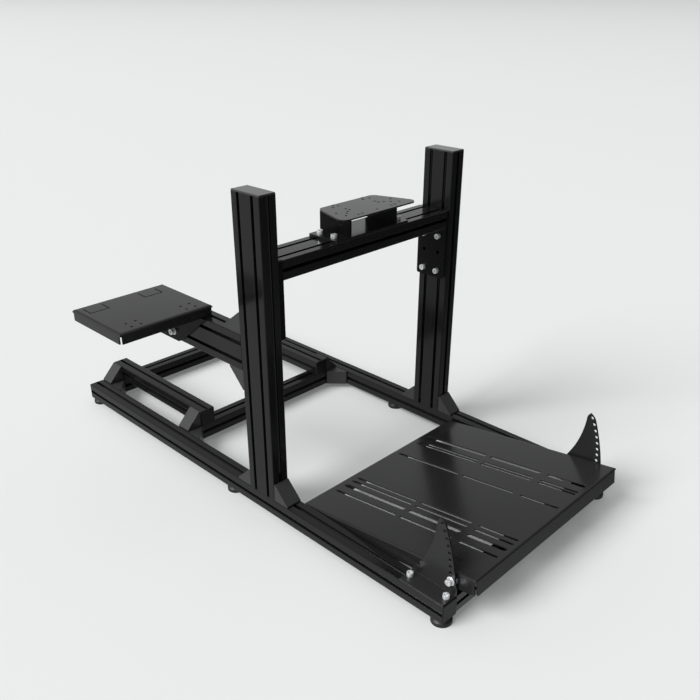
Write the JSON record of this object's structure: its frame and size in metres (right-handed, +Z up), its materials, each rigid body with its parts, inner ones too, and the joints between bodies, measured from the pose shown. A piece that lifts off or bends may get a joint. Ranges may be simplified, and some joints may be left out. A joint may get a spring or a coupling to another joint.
{
  "type": "sim racing cockpit frame",
  "caption": "Open cockpit frame of black slotted extrusion for sim racing: base rails, two uprights with a crossbar and wheel plate, shifter shelf, seat rails and a tilted slotted pedal tray.",
  "frame": {"origin": "on the floor, midway between the two base rails and midway along them", "axes": "-Y toward the pedals and the way the driver looks, -X toward the driver's right (the side with the shifter shelf), +Z up"},
  "size_m": [0.7845, 1.2646, 0.7005],
  "materials": {
    "black_extrusion": "extruded and black anodised, satin",
    "cast_brackets": "die cast with a fine black powder coat",
    "coated_sheet": "cut and folded steel sheet with a satin black powder coat",
    "cap_plastic": "moulded black plastic with a fine grain",
    "rubber_feet": "black rubber faced foot",
    "steel_spacers": "zinc plated steel"
  },
  "bodies": {
    "root": {"arm_bottom_bracket": "cast_brackets", "arm_top_bracket": "cast_brackets", "crossbar": "black_extrusion", "crossbar_left_bracket": "coated_sheet", "crossbar_right_bracket": "coated_sheet", "front_crossbeam": "black_extrusion", "front_left_corner_bracket": "cast_brackets", "front_right_corner_bracket": "cast_brackets", "left_feet": "rubber_feet", "left_pedal_fin": "coated_sheet", "left_rail": "black_extrusion", "left_rail_end_caps": "cap_plastic", "left_seat_rail": "black_extrusion", "left_seat_rail_end_caps": "cap_plastic", "left_upright": "black_extrusion", "left_upright_front_bracket": "cast_brackets", "left_upright_rear_bracket": "cast_brackets", "middle_crossbeam": "black_extrusion", "middle_left_corner_bracket": "cast_brackets", "middle_left_seat_bracket": "cast_brackets", "middle_right_corner_bracket": "cast_brackets", "middle_right_seat_bracket": "cast_brackets", "pedal_plate": "coated_sheet", "rear_crossbeam": "black_extrusion", "rear_left_corner_bracket": "cast_brackets", "rear_left_seat_bracket": "cast_brackets", "rear_right_corner_bracket": "cast_brackets", "rear_right_seat_bracket": "cast_brackets", "right_feet": "rubber_feet", "right_pedal_fin": "coated_sheet", "right_rail": "black_extrusion", "right_rail_end_caps": "cap_plastic", "right_seat_rail": "black_extrusion", "right_seat_rail_end_caps": "cap_plastic", "right_upright": "black_extrusion", "right_upright_front_bracket": "cast_brackets", "right_upright_rear_bracket": "cast_brackets", "shelf_bracket": "coated_sheet", "shifter_arm": "black_extrusion", "shifter_shelf": "coated_sheet", "tray_spacers": "steel_spacers", "upright_caps": "cap_plastic", "wheel_mount_base": "coated_sheet", "wheel_mount_bridge": "coated_sheet", "wheel_mount_plate": "coated_sheet"}
  },
  "joints": []
}
